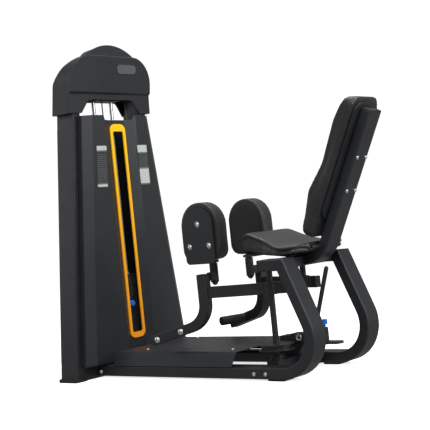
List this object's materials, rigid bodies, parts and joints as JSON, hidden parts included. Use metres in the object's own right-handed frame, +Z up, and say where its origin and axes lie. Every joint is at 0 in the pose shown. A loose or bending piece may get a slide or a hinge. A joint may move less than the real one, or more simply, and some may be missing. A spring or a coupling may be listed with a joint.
{
  "type": "hip abductor machine",
  "caption": "Seated hip abductor and adductor machine with splayed arms, swivelling thigh pads, a weight tower and a leaning back pad.",
  "frame": {"origin": "floor level, on the centre plane, under the middle of the weight tower's bottom crossbar", "axes": "+X from the weight tower towards the seat, +Y to the far side, +Z up"},
  "size_m": [1.5237, 0.774, 1.503],
  "materials": {
    "frame_paint": "satin",
    "cover_paint": "satin",
    "upholstery": "satin",
    "slot_trim": "gloss",
    "knob_plastic": "gloss",
    "bright_steel": "polished",
    "fastener_steel": "satin",
    "rubber": "matte",
    "cast_plate": "matte",
    "placard_plastic": "satin",
    "pulley_plastic": "satin",
    "cable_coating": "satin"
  },
  "bodies": {
    "frame": {"adjuster_stand": "frame_paint", "back_cushion": "upholstery", "back_plate": "frame_paint", "back_tube": "frame_paint", "bearing_bridge": "frame_paint", "frame_bolts": "fastener_steel", "frame_feet": "rubber", "guard_front": "cover_paint", "guard_rear": "cover_paint", "guide_rods": "bright_steel", "head_badge": "placard_plastic", "head_cover": "cover_paint", "lift_cable": "cable_coating", "pivot_beam": "frame_paint", "pivot_bearings": "frame_paint", "placards": "placard_plastic", "platform_cover": "cover_paint", "pulley_brackets": "frame_paint", "rubber_bumpers": "rubber", "seat_cross_tubes": "frame_paint", "seat_cushion": "upholstery", "seat_plate": "frame_paint", "sheave_block": "frame_paint", "side_frame_far": "frame_paint", "side_frame_near": "frame_paint", "slot_frame": "slot_trim", "tower_crossbar_bottom": "frame_paint", "tower_crossbar_top": "frame_paint", "tower_feet": "rubber", "tower_post_far": "frame_paint", "tower_post_near": "frame_paint", "weight_plates_resting": "cast_plate"},
    "weights": {"weight_plates_lifted": "cast_plate", "weight_carriage": "cast_plate", "carriage_bushes": "fastener_steel"},
    "selector": {"selector_pin": "bright_steel", "selector_knob": "knob_plastic"},
    "pulley_middle": {"head_pulley_middle": "pulley_plastic"},
    "pulley_side": {"head_pulley_side": "pulley_plastic"},
    "pulley_base": {"base_pulley": "pulley_plastic"},
    "handle": {"range_handle": "frame_paint"},
    "plunger": {"range_pin": "knob_plastic"},
    "near_arm": {"near_shaft": "frame_paint", "near_lever": "frame_paint", "near_lever_cap": "rubber", "near_arm_tube": "frame_paint", "near_foot_peg": "rubber", "near_pad_clamp": "frame_paint"},
    "near_pad": {"near_pad_post": "frame_paint", "near_pad_plate": "frame_paint", "near_pad_cushion": "upholstery"},
    "far_arm": {"far_shaft": "frame_paint", "far_lever": "frame_paint", "far_lever_cap": "rubber", "far_arm_tube": "frame_paint", "far_foot_peg": "rubber", "far_pad_clamp": "frame_paint"},
    "far_pad": {"far_pad_post": "frame_paint", "far_pad_plate": "frame_paint", "far_pad_cushion": "upholstery"}
  },
  "joints": [
    {"name": "weight_lift", "type": "slide", "parent": "frame", "child": "weights", "axis": [0, 0, 1], "range_m": [0, 0.3]},
    {"name": "selector_pull", "type": "slide", "parent": "weights", "child": "selector", "axis": [1, 0, 0], "range_m": [0, 0.07]},
    {"name": "near_arm_swing", "type": "hinge", "parent": "frame", "child": "near_arm", "pos_m": [0.963, -0.117, 0.355], "axis": [0, 0, 1], "range_deg": [0, 40]},
    {"name": "far_arm_swing", "type": "hinge", "parent": "frame", "child": "far_arm", "pos_m": [0.963, 0.117, 0.355], "axis": [0, 0, -1], "range_deg": [0, 40]},
    {"name": "near_pad_swivel", "type": "hinge", "parent": "near_arm", "child": "near_pad", "pos_m": [0.68, -0.122, 0.415], "axis": [0, 0, 1], "range_deg": [0, 180]},
    {"name": "far_pad_swivel", "type": "hinge", "parent": "far_arm", "child": "far_pad", "pos_m": [0.68, 0.122, 0.415], "axis": [0, 0, -1], "range_deg": [0, 180]},
    {"name": "pulley_middle_spin", "type": "hinge", "parent": "frame", "child": "pulley_middle", "pos_m": [0, 0.03, 1.294], "axis": [-1, 0, 0], "range_deg": [0, 580]},
    {"name": "pulley_side_spin", "type": "hinge", "parent": "frame", "child": "pulley_side", "pos_m": [0, 0.125, 1.294], "axis": [-1, 0, 0], "range_deg": [0, 580]},
    {"name": "pulley_base_spin", "type": "hinge", "parent": "frame", "child": "pulley_base", "pos_m": [0.03, 0.155, 0.09], "axis": [0, -1, 0], "range_deg": [0, 580]},
    {"name": "handle_tilt", "type": "hinge", "parent": "frame", "child": "handle", "pos_m": [1.08, 0, 0.178], "axis": [0, 1, 0], "range_deg": [0, 7]},
    {"name": "plunger_lift", "type": "slide", "parent": "frame", "child": "plunger", "axis": [0, 0, 1], "range_m": [0, 0.012], "stiffness_N_per_m": 400}
  ],
  "couplings": [
    {"joint": "near_arm_swing", "follows": "weight_lift", "rad_per_m": 2.3271},
    {"joint": "far_arm_swing", "follows": "weight_lift", "rad_per_m": 2.3271},
    {"joint": "pulley_middle_spin", "follows": "weight_lift", "rad_per_m": 33.333},
    {"joint": "pulley_side_spin", "follows": "weight_lift", "rad_per_m": 33.333},
    {"joint": "pulley_base_spin", "follows": "weight_lift", "rad_per_m": 33.333}
  ]
}
